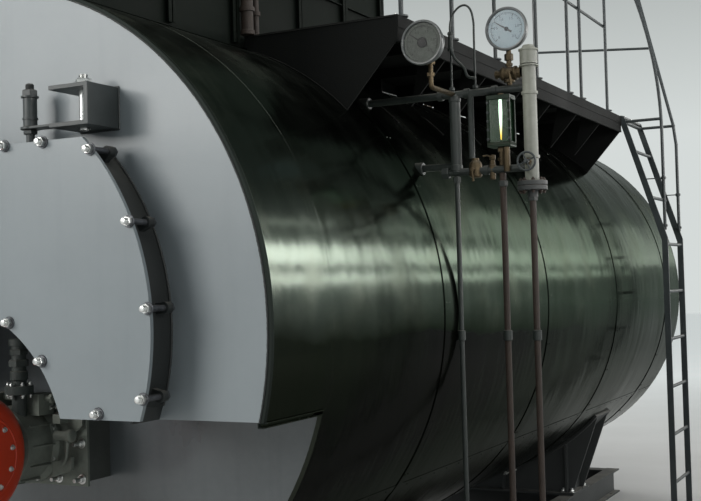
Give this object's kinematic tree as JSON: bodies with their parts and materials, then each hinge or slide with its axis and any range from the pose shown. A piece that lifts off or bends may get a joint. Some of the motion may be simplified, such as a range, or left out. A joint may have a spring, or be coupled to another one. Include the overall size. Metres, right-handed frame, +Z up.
{
  "type": "horizontal fire-tube industrial boiler",
  "caption": "Horizontal fire-tube boiler with a clad round shell, a clamped smoke-box door over a burner, a gauge group, a side walkway and a ladder.",
  "frame": {"origin": "on the floor, under the middle of the boiler's length and width", "axes": "+X to the boiler's right side (gauges and ladder), +Y to its rear, +Z up"},
  "size_m": [2.728, 5.874, 3.55],
  "materials": {
    "dark_steel": "matt black-grey paint, dusty",
    "cladding_steel": "polished stainless sheet with soft wide reflections",
    "grey_paint": "light grey semi-gloss paint",
    "neck_steel": "dark heat-stained paint",
    "zinc_steel": "zinc-plated bolts and nuts",
    "davit_steel": "dark grey paint with bare edges",
    "cast_grey": "cast aluminium, slightly grimy",
    "burner_orange": "orange enamel",
    "pipe_grey": "grey paint, worn",
    "green_grey_paint": "grey-green paint",
    "deck_steel": "almost black paint with rust at the edges",
    "rail_steel": "dark blue-grey paint, rubbed",
    "column_paint": "cream-grey paint",
    "gauge_glass": "thick green gauge glass in a steel frame",
    "dial_white": "white dial under glass, dark bezel",
    "brass": "dull brass",
    "rusty_pipe": "brown rusty pipe"
  },
  "bodies": {
    "root": {"skid": "dark_steel", "front_saddle": "dark_steel", "rear_saddle": "dark_steel", "cladding": "cladding_steel", "cladding_bands": "cladding_steel", "smoke_box_shell": "cladding_steel", "smoke_box_floor": "grey_paint", "front_plate": "grey_paint", "door_neck": "neck_steel", "right_door": "grey_paint", "left_door": "grey_paint", "door_clamps": "zinc_steel", "davit_brackets": "davit_steel", "davit_pins": "zinc_steel", "davit_arms": "davit_steel", "lifting_rods": "davit_steel", "lower_front_plate": "grey_paint", "front_rim": "cladding_steel", "burner_box": "cast_grey", "burner_plate": "cast_grey", "burner_body": "cast_grey", "burner_fan_casing": "burner_orange", "burner_motor": "dark_steel", "burner_gas_pipe": "pipe_grey", "rear_end_plate": "grey_paint", "rear_door": "grey_paint", "economizer": "green_grey_paint", "chimney_collar": "green_grey_paint", "manhole": "davit_steel", "steam_outlet": "davit_steel", "safety_valves": "brass", "feed_inlet": "davit_steel", "deck": "deck_steel", "deck_gussets": "deck_steel", "railing_posts": "rail_steel", "railing_rails": "rail_steel", "ladder_stringers": "rail_steel", "ladder_rungs": "rail_steel", "ladder_handrails": "rail_steel", "connection_pipes": "pipe_grey", "water_column": "column_paint", "water_gauge": "gauge_glass", "pressure_gauges": "dial_white", "gauge_cocks": "brass", "drain_pipes": "rusty_pipe"}
  },
  "joints": []
}
